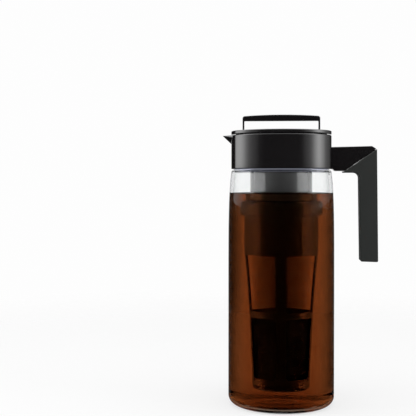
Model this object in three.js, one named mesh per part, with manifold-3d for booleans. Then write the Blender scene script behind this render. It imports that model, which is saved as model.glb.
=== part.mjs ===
// A cold brew coffee maker: a clear pitcher with a pouring collar and a side handle, a screw-in lid
// with a folding bail, and a long strainer that hangs from the lid inside the pitcher.
// Millimetres, +Z up. The origin is the middle of the base, the handle points to +X and the beak to -X.
import * as THREE from "three";
import { mergeVertices } from "three/addons/utils/BufferGeometryUtils.js";
import { ConvexGeometry } from "three/addons/geometries/ConvexGeometry.js";
import Module from "manifold-3d";

// Clearances and steps
const gap = 0.3; // clearance between pieces that touch on the real object
const cutOver = 2; // how far a cut runs past the face that it leaves by
const weld = 0.0001; // points closer than this are one point
const aboutSteps = 48; // facets round the wide revolved pieces
const stemSteps = 40; // facets round the stem and the strainer
const cornerSteps = 3; // facets in a broad rounded corner
const broadCorner = 2.9; // corners rounded less than this are one facet

// Pitcher
const bodyRadius = 57.2;
const bodyHeight = 252.6; // table to the top of the shoulder
const bodyWall = 2.8;
const bodyFloor = 4;
const bodyDraw = 3.4; // how far the wall has drawn in at the shoulder
const bodyDrawPower = 10; // how late the wall draws in
const bodyLevels = 6; // rings of points up the wall
const baseCorner = 9.5;
const footPadRadius = 18;
const footRingWidth = 7;
const footGroove = 1.2;
const shoulderCorner = 2;
const neckInset = 7.7; // from the body's radius to the neck's
const neckWall = 2.9;
const neckRise = 23.4; // shoulder to the neck's rim
const seatRise = 0.8; // the raised ring that the collar sits on
const seatWidth = 2.1;
const beadRise = 14; // shoulder to the middle of the snap bead
const beadWidth = 2;
const beadReach = 0.8;

// Collar with its beak
const collarWall = 4.3;
const collarRise = 36.3; // the collar's own height
const neckSealHeight = 1.6;
const rebateWall = 4.4;
const rebateDepth = 3.5;
const edgeRound = 0.9;
const beakReach = 9.2; // collar to the tip of the beak
const beakDrop = 9; // rim to the root of the beak's keel
const beakHalfWidth = 15;
const beakTip = 2.4; // half width of the tip
const beakWall = 1.7;

// Handle
const armDrop = 2.1; // the arm's underside lies this far below the collar's foot
const armDepth = 25.6;
const armRise = 1; // how much the top climbs towards the corner
const armWidth = 21.6;
const armCorner = 1.4;
const armChamfer = 5.3; // how far the arm's slanted corner runs along its top
const armHeel = 0.6; // length of the arm's raised heel over the shoulder
const fingerGap = 25.7; // body to the inner side of the grip
const gripDepth = 18.7;
const gripLean = 1.45; // how much further out the foot of the grip is
const gripFootRise = 0.5; // how much higher the foot is on its inner side
const gripLength = 97.1; // the arm's underside to the foot of the grip
const gripWall = 1.8;
const gripWidth = 22.6;
const gripInnerCorner = 5.5;
const gripFootCorner = 2;
const gripEdge = 1.6;
const sleeveStart = 10.4; // body to the start of the sleeve's slanting edge
const sleeveShoulder = 2.9; // the arm's top to the end of the slanting edge

// Threads of the collar, the lid, its stem and the strainer
const threadDepth = 1; // height of a thread's ridge
const threadPitch = 4;
const threadBite = 0.4; // how far a ridge's root lies inside its wall
const threadRootShare = 0.6; // a ridge's width at its wall, as a share of the pitch
const threadCrestShare = 0.2;
const threadTurns = 1;
const threadSteps = 48; // facets in one turn of a ridge

// Lid
const lidGap = 0.7; // the thin dark line between collar and lid
const rimRise = 4;
const cupWall = 1.6;
const cupFloor = 1.8;
const wellDepth = 5.7;
const landWidth = 5.6; // the lands that hold the bail's axles
const skirtClearance = 1.2; // neck bore to the skirt, which the seal fills
const skirtWall = 2.8;
const skirtLength = 24;
const plateThickness = 2.1;
const pourSlotWidth = 20;
const pourSlotHeight = 5.6;
const sealWidth = 2;
const sealHeight = 2.6;
const sealFromFoot = 4; // the skirt's foot to the underside of its seal
const stemWall = 2;
const stemDrop = 55.8; // the plate's underside to the stem's step, which meets the drink
const stemFoot = 23; // the step to the stem's open end

// Bail
const bailHeight = 21; // axle to the top of the bar
const bailCrown = 1.6; // how much higher the middle of the bar is
const bailBar = 5.4;
const bailLeg = 2;
const bailThickness = 4.8;
const bailCorner = 2.6;
const bailEdge = 0.7;
const axleRadius = 1.5;
const axleLength = 3;

// Strainer
const ringRadius = 33.75;
const ringHeight = 15.9;
const ringRound = 3;
const ringWall = 3.25;
const socketDepth = 13.5;
const strainerInset = 3.6; // ring to the strainer's wall under it
const strainerWall = 1.8;
const strainerUnder = 14; // the strainer's underside to the pitcher's floor
const ribWidth = 9.4;
const windowCorner = 2.5;
const meshThickness = 0.7;
const meshInset = 0.5; // how far the mesh lies behind the frame's face
const capHeight = 4.7;
const capRound = 3.5;
const capFloor = 2;
const spigotRise = 3.3;
const spigotWall = 1.6;
const quadrants = 4;
// The strainer's radius, as a share of its radius under the ring, at shares of its height.
const taperShares = [
  [0, 0.766],
  [0.11, 0.776],
  [0.323, 0.832],
  [0.483, 0.882],
  [0.642, 0.949],
  [0.731, 1],
];
// Foot and head of each tier of windows, as shares of the strainer's height.
const lowerTierShares = [0.0636, 0.384];
const upperTierShares = [0.417, 0.7147];

// Places that follow from the sizes above
const neckRadius = bodyRadius - neckInset;
const neckBore = neckRadius - neckWall;
const neckTop = bodyHeight + neckRise;
const seatTop = bodyHeight + seatRise;
const beadMiddle = bodyHeight + beadRise;
const collarFoot = seatTop + gap;
const collarTop = collarFoot + collarRise;
const collarBore = neckRadius + gap;
const collarRadius = collarBore + collarWall;
const lipFoot = neckTop + neckSealHeight + gap + gap;
const rebateRadius = collarRadius - rebateWall;
const rebateFoot = collarTop - rebateDepth;
const skirtRadius = neckBore - skirtClearance;
const lipRadius = skirtRadius + threadDepth + threadDepth + gap;
const rimFoot = collarTop + lidGap;
const rimTop = rimFoot + rimRise;
const cupRadius = rebateRadius - gap;
const wellRadius = cupRadius - cupWall;
const wellFloor = rimTop - wellDepth;
const cupFoot = wellFloor - cupFloor;
const landInner = wellRadius - landWidth;
const plateTop = cupFoot - gap;
const plateFoot = plateTop - plateThickness;
const skirtFoot = plateTop - skirtLength;
const sealFoot = skirtFoot + sealFromFoot;
const stemStep = plateFoot - stemDrop;
const stemEnd = stemStep - stemFoot;
const strainerRadius = ringRadius - strainerInset;
const socketRadius = ringRadius - ringWall;
const stemRadius = socketRadius - threadDepth - gap;
const stemThreadRoot = stemRadius - threadDepth;
const stemUpperRadius = ringRadius - gap;
const socketFloor = stemEnd - gap;
const ringTop = socketFloor + socketDepth;
const ringFoot = ringTop - ringHeight;
const strainerFoot = bodyFloor + strainerUnder;
const strainerHeight = ringTop - strainerFoot;
const capTop = strainerFoot + capHeight;
const frameFoot = capTop + gap;
const armFoot = collarFoot - armDrop;
const armTop = armFoot + armDepth;
const armRoot = collarRadius - collarWall / 2;
const channelRoot = lipRadius + threadDepth;
const slantTop = armTop + armRise - sleeveShoulder;
const sleeveRoot = bodyRadius + sleeveStart;
const gripInner = bodyRadius + fingerGap;
const gripOuter = gripInner + gripDepth;
const gripFoot = armFoot - gripLength;
const bailAxis = wellFloor + bailThickness / 2 + gap;
const bailReach = landInner - gap;

const wasm = await Module();
wasm.setup();

/** A closed loop of points whose corners [x, y, radius] are rounded by arcs. */
function roundedLoop(corners) {
  const points = [];
  corners.forEach(([x, y, radius = 0], i) => {
    const here = new THREE.Vector2(x, y);
    if (!radius) {
      points.push(here);
      return;
    }
    const before = corners[(i + corners.length - 1) % corners.length];
    const after = corners[(i + 1) % corners.length];
    const back = new THREE.Vector2(before[0], before[1]).sub(here).normalize();
    const ahead = new THREE.Vector2(after[0], after[1]).sub(here).normalize();
    const halfAngle = Math.acos(back.dot(ahead)) / 2;
    const start = here.clone().addScaledVector(back, radius / Math.tan(halfAngle));
    const end = here.clone().addScaledVector(ahead, radius / Math.tan(halfAngle));
    const inward = back.clone().add(ahead).normalize();
    const centre = here.clone().addScaledVector(inward, radius / Math.sin(halfAngle));
    const from = start.sub(centre).angle();
    const turn = end.sub(centre).angle() - from;
    const sweep = turn - 2 * Math.PI * Math.round(turn / (2 * Math.PI));
    const steps = radius < broadCorner ? 1 : cornerSteps;
    for (let k = 0; k <= steps; k++) {
      const angle = from + (sweep * k) / steps;
      points.push(new THREE.Vector2(Math.cos(angle), Math.sin(angle)).multiplyScalar(radius).add(centre));
    }
  });
  return points;
}

/** The solid that a closed three.js geometry bounds. */
function solidOf(geometry) {
  const bare = geometry.clone();
  bare.deleteAttribute("normal");
  bare.deleteAttribute("uv");
  const merged = mergeVertices(bare, weld);
  const corners = merged.index.array;
  const kept = [];
  for (let i = 0; i < corners.length; i += 3) {
    const [a, b, c] = [corners[i], corners[i + 1], corners[i + 2]];
    if (a !== b && b !== c && c !== a) kept.push(a, b, c);
  }
  return new wasm.Manifold(
    new wasm.Mesh({
      numProp: 3,
      vertProperties: merged.attributes.position.array,
      triVerts: Uint32Array.from(kept),
    }),
  );
}

/** The three.js geometry of a solid. */
function geometryOf(solid) {
  const mesh = solid.getMesh();
  const geometry = new THREE.BufferGeometry();
  geometry.setAttribute("position", new THREE.BufferAttribute(mesh.vertProperties, 3));
  geometry.setIndex(new THREE.BufferAttribute(mesh.triVerts, 1));
  return geometry;
}

/** A solid of revolution about Z. The corners are [radius, height, rounding], anticlockwise. */
function revolve(corners, steps = aboutSteps) {
  const profile = roundedLoop(corners);
  const onAxis = profile[0].x === 0;
  if (!onAxis) profile.push(profile[0].clone());
  return solidOf(new THREE.LatheGeometry(profile, steps).rotateX(Math.PI / 2));
}

/** A plate with the outline [x, z, rounding], centred on the plane y = 0. */
function plate(corners, width, edge = 0) {
  const shape = new THREE.Shape(roundedLoop(corners));
  const geometry = new THREE.ExtrudeGeometry(shape, {
    depth: width - 2 * edge,
    bevelEnabled: edge > 0,
    bevelThickness: edge,
    bevelSize: edge,
    bevelOffset: -edge,
    bevelSegments: 2,
  });
  return solidOf(geometry.translate(0, 0, edge - width / 2).rotateX(Math.PI / 2));
}

/** A round bar along X from one x to another. */
function barAlongX(radius, from, to, height) {
  const geometry = new THREE.CylinderGeometry(radius, radius, to - from, stemSteps / quadrants);
  return solidOf(geometry.rotateZ(Math.PI / 2).translate((from + to) / 2, 0, height));
}

/** A block between two corners. */
function block(low, high) {
  const size = new THREE.Vector3(...high).sub(new THREE.Vector3(...low));
  const middle = new THREE.Vector3(...low).addScaledVector(size, 1 / 2);
  return solidOf(new THREE.BoxGeometry(...size).translate(...middle));
}

/** A helical ridge about Z that climbs from a foot, with its root inside a wall and its crest off it. */
function threadRidge(wall, crest, foot) {
  const outward = Math.sign(crest - wall);
  const root = wall - outward * threadBite;
  const rootHalf = (outward * threadPitch * threadRootShare) / 2;
  const crestHalf = (outward * threadPitch * threadCrestShare) / 2;
  const section = [
    [root, -rootHalf],
    [crest, -crestHalf],
    [crest, crestHalf],
    [root, rootHalf],
  ];
  const corners = section.length;
  const steps = threadSteps * threadTurns;
  const places = [];
  const faces = [];
  for (let k = 0; k <= steps; k++) {
    const angle = (2 * Math.PI * k) / threadSteps;
    const climb = foot + (threadPitch * k) / threadSteps;
    section.forEach(([radius, rise], i) => {
      places.push(radius * Math.cos(angle), radius * Math.sin(angle), climb + rise);
      if (k === steps) return;
      const here = k * corners + i;
      const next = k * corners + ((i + 1) % corners);
      faces.push(next, here, here + corners, next, here + corners, next + corners);
    });
  }
  const end = steps * corners;
  for (let i = 1; i + 1 < corners; i++) faces.push(0, i, i + 1, end, end + i + 1, end + i);
  const geometry = new THREE.BufferGeometry();
  geometry.setAttribute("position", new THREE.Float32BufferAttribute(places, 3));
  geometry.setIndex(faces);
  return solidOf(geometry);
}

/** The body's outer radius at a height. */
function bodyRadiusAt(height) {
  return bodyRadius - bodyDraw * (height / bodyHeight) ** bodyDrawPower;
}

/** Heights from the base corner to the shoulder's arc, closer together near the shoulder. */
function bodyHeights() {
  const low = baseCorner;
  const high = bodyHeight - shoulderCorner;
  return Array.from({ length: bodyLevels }, (_, k) => low + (high - low) * (k / (bodyLevels - 1)) ** (1 / 3));
}

function pitcherSolid() {
  const shoulderRadius = bodyRadiusAt(bodyHeight);
  const footOuter = bodyRadius - baseCorner;
  const grooveOuter = footOuter - footRingWidth;
  const outerWall = bodyHeights().map((z) => [bodyRadiusAt(z), z]);
  const innerCorner = baseCorner - bodyWall;
  const innerTop = bodyHeight - bodyWall;
  const innerWall = bodyHeights()
    .filter((z) => z > bodyFloor + innerCorner && z < innerTop - shoulderCorner)
    .map((z) => [bodyRadiusAt(z) - bodyWall, z])
    .reverse();
  return revolve([
    [0, 0],
    [footPadRadius, 0],
    [footPadRadius + footGroove, footGroove],
    [grooveOuter - footGroove, footGroove],
    [grooveOuter, 0],
    [bodyRadius, 0, baseCorner],
    ...outerWall.slice(1),
    [shoulderRadius, bodyHeight, shoulderCorner],
    [neckRadius + seatWidth, bodyHeight],
    [neckRadius + seatWidth, seatTop],
    [neckRadius, seatTop],
    [neckRadius, beadMiddle - beadWidth],
    [neckRadius + beadReach, beadMiddle - beadWidth / 2],
    [neckRadius + beadReach, beadMiddle + beadWidth / 2],
    [neckRadius, beadMiddle + beadWidth + beadWidth],
    [neckRadius, neckTop, edgeRound],
    [neckBore, neckTop, edgeRound],
    [neckBore, innerTop],
    [shoulderRadius - bodyWall, innerTop],
    ...innerWall,
    [bodyRadius - bodyWall, bodyFloor, innerCorner],
    [0, bodyFloor],
  ]);
}

function neckSealSolid() {
  const foot = neckTop + gap;
  const top = foot + neckSealHeight;
  return revolve([
    [neckBore + gap, foot, neckSealHeight / 3],
    [neckRadius, foot, neckSealHeight / 3],
    [neckRadius, top, neckSealHeight / 3],
    [neckBore + gap, top, neckSealHeight / 3],
  ]);
}

/** The beak's body out from a root, or its channel when it is shrunk by a wall and carried on upwards. */
function beak(wall, root, above) {
  const reach = collarRadius + beakReach - wall * Math.SQRT2;
  const top = collarTop + above;
  const half = beakHalfWidth - wall * Math.SQRT2;
  const keel = collarTop - beakDrop + wall * Math.SQRT2;
  const tip = beakTip - wall / 2;
  const points = [];
  for (const side of [-1, 1]) {
    points.push([-reach, side * tip / 2, collarTop], [-reach, side * tip / 2, top]);
    points.push([-reach + tip, side * tip, collarTop], [-reach + tip, side * tip, top]);
    points.push([-root, side * half, collarTop - beakTip], [-root, side * half, top]);
    points.push([-root, side * tip, keel], [-collarRadius, side * tip / 2, keel]);
  }
  return solidOf(new ConvexGeometry(points.map((p) => new THREE.Vector3(...p))));
}

/** Height of the arm's slanting edge at a distance from the axis. */
function slantAt(x) {
  return armFoot + ((slantTop - armFoot) * (x - sleeveRoot)) / (gripOuter - edgeRound - sleeveRoot);
}

/** The arm's outline over the shoulder, out to its slanting edge, moved in or out by a margin there. */
function armOutline(margin) {
  const lift = margin * Math.hypot(1, (slantTop - armFoot) / (gripOuter - edgeRound - sleeveRoot));
  return [
    [armRoot, collarFoot],
    [collarRadius + armHeel, collarFoot],
    [collarRadius + armHeel + armDrop, armFoot - lift],
    [sleeveRoot, armFoot - lift],
    [gripOuter - edgeRound, slantTop - lift],
    [gripOuter - armChamfer, armTop + armRise, armCorner],
    [armRoot, armTop],
  ];
}

/** The grip's outline, drawn in by an inset: its short arm under the slant and its long hanging leg. */
function gripOutline(inset) {
  return [
    [sleeveRoot - gripWall, armFoot - gripWall + inset],
    [gripInner + inset, armFoot - gripWall + inset, gripInnerCorner],
    [gripInner + gripLean + inset, gripFoot + gripFootRise + inset, gripFootCorner],
    [gripOuter + gripLean - inset, gripFoot + inset, gripFootCorner],
    [gripOuter - inset, slantTop - gap],
    [sleeveRoot - gripWall, slantTop - gap],
  ];
}

function collarSolid() {
  const grooveReach = beadReach + gap;
  const ring = revolve([
    [collarBore, collarFoot],
    [collarRadius, collarFoot, edgeRound],
    [collarRadius, collarTop, edgeRound],
    [rebateRadius, collarTop],
    [rebateRadius, rebateFoot],
    [lipRadius, rebateFoot],
    [lipRadius, lipFoot],
    [collarBore, lipFoot],
    [collarBore, beadMiddle + beadWidth + beadWidth],
    [collarBore + grooveReach, beadMiddle + beadWidth],
    [collarBore + grooveReach, beadMiddle - beadWidth],
    [collarBore, beadMiddle - beadWidth],
  ]);
  const arm = plate(armOutline(0), armWidth, edgeRound);
  const core = plate(gripOutline(gripWall + gap), gripWidth - 2 * (gripWall + gap), edgeRound);
  return ring
    .add(threadRidge(lipRadius, lipRadius - threadDepth, lipFoot + threadPitch / 2))
    .add(beak(0, armRoot, 0))
    .subtract(beak(beakWall, channelRoot, cutOver))
    .add(arm)
    .add(core.subtract(block([0, -gripWidth, armFoot], [sleeveRoot, gripWidth, armTop])));
}

function gripSolid() {
  const outer = plate(gripOutline(0), gripWidth, gripEdge);
  const hollow = plate(gripOutline(gripWall), gripWidth - 2 * gripWall);
  const armRoom = plate(armOutline(gap), gripWidth + cutOver);
  const above = plate(
    [
      [bodyRadius, armFoot - gap],
      [sleeveRoot, armFoot - gap],
      [gripOuter + cutOver, slantAt(gripOuter + cutOver) - gap],
      [gripOuter + cutOver, armTop + cutOver],
      [bodyRadius, armTop + cutOver],
    ],
    gripWidth + cutOver,
  );
  return outer.subtract(hollow).subtract(armRoom).subtract(above);
}

function lidCoverSolid() {
  const disc = revolve([
    [0, cupFoot],
    [cupRadius, cupFoot],
    [cupRadius, rimFoot],
    [collarRadius, rimFoot, edgeRound],
    [collarRadius, rimTop, edgeRound],
    [0, rimTop],
  ]);
  const well = revolve([
    [0, wellFloor],
    [wellRadius, wellFloor, edgeRound],
    [wellRadius, rimTop + cutOver],
    [0, rimTop + cutOver],
  ]);
  const stripTop = rimTop + cutOver + cutOver;
  const strip = block([-landInner, -collarRadius, cupFoot], [landInner, collarRadius, stripTop]);
  const holeEnd = bailReach + axleLength + gap;
  const holes = barAlongX(axleRadius + gap, -holeEnd, holeEnd, bailAxis);
  return disc.subtract(well.intersect(strip)).subtract(holes);
}

function lidBodySolid() {
  const grooveRadius = skirtRadius + gap - sealWidth - gap;
  const plug = revolve([
    [0, plateFoot],
    [stemUpperRadius - stemWall, plateFoot],
    [stemUpperRadius - stemWall, stemStep + stemWall],
    [stemRadius - stemWall - threadDepth, stemStep],
    [stemRadius - stemWall - threadDepth, stemEnd],
    [stemThreadRoot, stemEnd],
    [stemThreadRoot, ringTop],
    [stemRadius, ringTop + threadDepth],
    [stemRadius, stemStep - gap],
    [stemUpperRadius, stemStep],
    [stemUpperRadius, plateFoot],
    [skirtRadius - skirtWall, plateFoot],
    [skirtRadius - skirtWall, skirtFoot],
    [skirtRadius, skirtFoot, edgeRound],
    [skirtRadius, sealFoot - gap],
    [grooveRadius, sealFoot - gap],
    [grooveRadius, sealFoot + sealHeight + gap],
    [skirtRadius, sealFoot + sealHeight + gap],
    [skirtRadius, plateTop],
    [0, plateTop],
  ]);
  const slot = block(
    [-pourSlotWidth / 2, -skirtRadius - cutOver, plateFoot - pourSlotHeight],
    [pourSlotWidth / 2, skirtRadius + cutOver, plateFoot],
  );
  const keepStem = revolve([
    [0, stemStep],
    [skirtRadius - skirtWall - gap, stemStep],
    [skirtRadius - skirtWall - gap, plateTop],
    [0, plateTop],
  ]);
  return plug
    .add(threadRidge(skirtRadius, skirtRadius + threadDepth, lipFoot))
    .add(threadRidge(stemThreadRoot, stemRadius, stemEnd + threadPitch / 2))
    .subtract(slot.subtract(keepStem));
}

function lidSealSolid() {
  const inner = skirtRadius + gap - sealWidth;
  const outer = neckBore - gap;
  return revolve([
    [inner, sealFoot, sealHeight / 3],
    [outer - gap, sealFoot],
    [outer, sealFoot + sealHeight / 2, sealHeight / 3],
    [outer - gap, sealFoot + sealHeight],
    [inner, sealFoot + sealHeight, sealHeight / 3],
  ]);
}

function bailSolid() {
  const top = bailAxis + bailHeight;
  const hoop = plate(
    [
      [-bailReach, bailAxis],
      [-bailReach + bailLeg, bailAxis],
      [-bailReach + bailLeg, top - bailCrown - bailBar, bailEdge],
      [bailReach - bailLeg, top - bailCrown - bailBar, bailEdge],
      [bailReach - bailLeg, bailAxis],
      [bailReach, bailAxis],
      [bailReach, top - bailCrown, bailCorner],
      [bailReach / 2, top - bailCrown / 4],
      [0, top],
      [-bailReach / 2, top - bailCrown / 4],
      [-bailReach, top - bailCrown, bailCorner],
    ],
    bailThickness,
    bailEdge,
  );
  const inside = bailReach - bailLeg;
  return hoop
    .add(barAlongX(bailThickness / 2, inside, bailReach, bailAxis))
    .add(barAlongX(bailThickness / 2, -bailReach, -inside, bailAxis))
    .add(barAlongX(axleRadius, inside, bailReach + axleLength, bailAxis))
    .add(barAlongX(axleRadius, -bailReach - axleLength, -inside, bailAxis));
}

/** The strainer's outer radius at a height, from its table of shares. */
function strainerRadiusAt(height) {
  const share = (height - strainerFoot) / strainerHeight;
  const above = taperShares.findIndex(([at]) => at >= share);
  if (above === -1) return strainerRadius;
  if (above === 0) return strainerRadius * taperShares[0][1];
  const [lowAt, lowShare] = taperShares[above - 1];
  const [highAt, highShare] = taperShares[above];
  return strainerRadius * (lowShare + ((highShare - lowShare) * (share - lowAt)) / (highAt - lowAt));
}

/** The strainer's wall from one height to another, at a depth behind its face and with a thickness. */
function strainerWallCorners(foot, top, depth, thickness) {
  const levels = taperShares.map(([at]) => strainerFoot + strainerHeight * at);
  const bends = levels.filter((z) => z > foot && z < top);
  const heights = [foot, ...bends, top];
  const outer = heights.map((z) => [strainerRadiusAt(z) - depth, z]);
  const inner = heights.map((z) => [strainerRadiusAt(z) - depth - thickness, z]).reverse();
  return { outer, inner };
}

/** The cutter of one window, between the ribs of a quadrant, drawn in by an inset. */
function windowCutter([footShare, headShare], quadrant, inset) {
  const foot = strainerFoot + strainerHeight * footShare + inset;
  const head = strainerFoot + strainerHeight * headShare - inset;
  const halfWidthAt = (z) => {
    const radius = strainerRadiusAt(z);
    return radius * Math.sin(Math.PI / quadrants - Math.asin(ribWidth / 2 / radius)) - inset;
  };
  const outline = [
    [-halfWidthAt(foot), foot, windowCorner],
    [halfWidthAt(foot), foot, windowCorner],
    [halfWidthAt(head), head, windowCorner],
    [-halfWidthAt(head), head, windowCorner],
  ];
  const shape = new THREE.Shape(roundedLoop(outline));
  const geometry = new THREE.ExtrudeGeometry(shape, { depth: ringRadius, bevelEnabled: false });
  const turn = (Math.PI * (2 * quadrant + 1)) / quadrants;
  return solidOf(geometry.rotateX(Math.PI / 2).rotateZ(turn));
}

function strainerFrameSolid() {
  const { outer, inner } = strainerWallCorners(frameFoot, ringFoot, 0, strainerWall);
  const bore = strainerRadius - strainerWall;
  const frame = revolve(
    [
      ...outer,
      [ringRadius, ringFoot, ringRound],
      [ringRadius, ringTop, ringRound],
      [socketRadius, ringTop],
      [socketRadius, socketFloor],
      [bore, socketFloor],
      ...inner,
    ],
    stemSteps,
  );
  const threaded = frame.add(threadRidge(socketRadius, socketRadius - threadDepth, stemEnd + threadPitch));
  return [lowerTierShares, upperTierShares].reduce((solid, tier) => {
    for (let q = 0; q < quadrants; q++) solid = solid.subtract(windowCutter(tier, q, 0));
    return solid;
  }, threaded);
}

function meshPanelSolid(tier, quadrant) {
  const [foot, top] = tier.map((share) => strainerFoot + strainerHeight * share);
  const { outer, inner } = strainerWallCorners(foot, top, meshInset, meshThickness);
  return revolve([...outer, ...inner], stemSteps).intersect(windowCutter(tier, quadrant, gap));
}

function strainerCapSolid() {
  const radius = strainerRadiusAt(capTop);
  const spigot = radius - strainerWall - gap;
  return revolve(
    [
      [0, strainerFoot],
      [radius, strainerFoot, capRound],
      [radius, capTop],
      [spigot, capTop],
      [spigot, capTop + spigotRise],
      [spigot - spigotWall, capTop + spigotRise],
      [spigot - spigotWall, strainerFoot + capFloor],
      [0, strainerFoot + capFloor],
    ],
    stemSteps,
  );
}

const clearPlastic = { color: 0xe9eff2, roughness: 0.05, metalness: 0, transparent: true, opacity: 0.3 };
const glossBlack = { color: 0x171517, roughness: 0.18, metalness: 0 };
const softGrip = { color: 0x2d2f2d, roughness: 0.75, metalness: 0 };
const siliconeSeal = { color: 0x8f97a8, roughness: 0.6, metalness: 0 };
const strainerPlastic = { color: 0x1c1a1a, roughness: 0.3, metalness: 0 };
const strainerMesh = { color: 0x2a2624, roughness: 0.6, metalness: 0 };

/** A named mesh of a solid, dressed with its own material. */
function piece(name, solid, look) {
  const mesh = new THREE.Mesh(geometryOf(solid), new THREE.MeshStandardMaterial(look));
  mesh.name = name;
  return mesh;
}

/** The eight mesh panels, four in each tier. */
function meshPanels() {
  const tiers = { lower: lowerTierShares, upper: upperTierShares };
  return Object.entries(tiers).flatMap(([tierName, tier]) =>
    Array.from({ length: quadrants }, (_, q) =>
      piece(`${tierName}_mesh_${q + 1}`, meshPanelSolid(tier, q), strainerMesh),
    ),
  );
}

const coffeeMaker = new THREE.Group();
coffeeMaker.add(
  piece("pitcher", pitcherSolid(), clearPlastic),
  piece("neck_seal", neckSealSolid(), siliconeSeal),
  piece("collar", collarSolid(), glossBlack),
  piece("handle_grip", gripSolid(), softGrip),
  piece("lid_cover", lidCoverSolid(), glossBlack),
  piece("lid_plug", lidBodySolid(), glossBlack),
  piece("lid_seal", lidSealSolid(), siliconeSeal),
  piece("bail", bailSolid(), glossBlack),
  piece("strainer_frame", strainerFrameSolid(), strainerPlastic),
  ...meshPanels(),
  piece("strainer_cap", strainerCapSolid(), strainerPlastic),
);

export default coffeeMaker;
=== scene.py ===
"""A cold brew coffee maker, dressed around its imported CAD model.

A clear pitcher holds coffee and a long strainer that hangs from a screw-in lid. The collar pours at -X and
carries the handle at +X. Sizes in the classes are millimetres; the meshes are metres, in the CAD frame.
"""

import logging
import math
from dataclasses import dataclass
from enum import Enum
from typing import Mapping, Sequence

import bpy
from bpy.types import Material, Node, NodeSocket, NodeTree, Object
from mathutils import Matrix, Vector

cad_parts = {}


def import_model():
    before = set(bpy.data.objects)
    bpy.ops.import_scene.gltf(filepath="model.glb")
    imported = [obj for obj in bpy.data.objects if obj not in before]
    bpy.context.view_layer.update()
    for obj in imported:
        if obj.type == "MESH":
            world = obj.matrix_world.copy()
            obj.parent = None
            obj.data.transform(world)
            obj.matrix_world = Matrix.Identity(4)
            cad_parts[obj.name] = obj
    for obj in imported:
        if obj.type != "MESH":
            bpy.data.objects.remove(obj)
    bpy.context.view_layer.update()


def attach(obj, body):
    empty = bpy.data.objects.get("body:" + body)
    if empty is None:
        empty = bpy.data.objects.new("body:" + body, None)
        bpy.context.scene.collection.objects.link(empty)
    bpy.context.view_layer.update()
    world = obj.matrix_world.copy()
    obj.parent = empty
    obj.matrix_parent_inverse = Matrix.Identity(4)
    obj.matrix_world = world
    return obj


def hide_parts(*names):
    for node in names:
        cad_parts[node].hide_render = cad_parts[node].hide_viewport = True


MM = 0.001
Corner = tuple[float, ...]
Colour = tuple[float, float, float]
Span = tuple[float, float]
Value = NodeSocket | float | Colour
Sockets = Mapping[str, NodeSocket]

log = logging.getLogger("coffee_maker")


class Body(Enum):
    """The CAD bodies that the pieces ride on."""

    PITCHER = "pitcher"
    STRAINER = "strainer"
    SEAL_RING = "seal_ring"
    LID = "lid"
    BAIL = "bail"


class Fit(Enum):
    """What a tool does to a piece."""

    JOIN = "UNION"
    CUT = "DIFFERENCE"
    KEEP_SHARED = "INTERSECT"


class Side(Enum):
    """The two sides of an even pair, by their sign."""

    LEFT = -1
    RIGHT = 1


class Tier(Enum):
    """The two rows of windows in the strainer."""

    LOWER = "lower"
    UPPER = "upper"


# Outlines


def rounded(corners: Sequence[Corner], steps: int = 6) -> list[Vector]:
    """Rounds the corners of a loop.

    Args:
        corners: the loop's corners, each (across, up) or (across, up, radius), in millimetres.
        steps: the number of facets in a rounded corner.

    Returns:
        The points of the loop, in millimetres.
    """
    points: list[Vector] = []
    for index, corner in enumerate(corners):
        here = Vector(corner[:2])
        radius = corner[2] if len(corner) > 2 else 0.0
        if not radius:
            points.append(here)
            continue
        back = (Vector(corners[index - 1][:2]) - here).normalized()
        ahead = (Vector(corners[(index + 1) % len(corners)][:2]) - here).normalized()
        half = back.angle(ahead) / 2
        start = here + back * (radius / math.tan(half))
        end = here + ahead * (radius / math.tan(half))
        centre = here + (back + ahead).normalized() * (radius / math.sin(half))
        first = math.atan2(start.y - centre.y, start.x - centre.x)
        last = math.atan2(end.y - centre.y, end.x - centre.x)
        sweep = math.remainder(last - first, math.tau)
        for step in range(steps + 1):
            angle = first + sweep * step / steps
            points.append(centre + Vector((math.cos(angle), math.sin(angle))) * radius)
    return points


# The bench: Blender's own tools, used on one piece at a time


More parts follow.
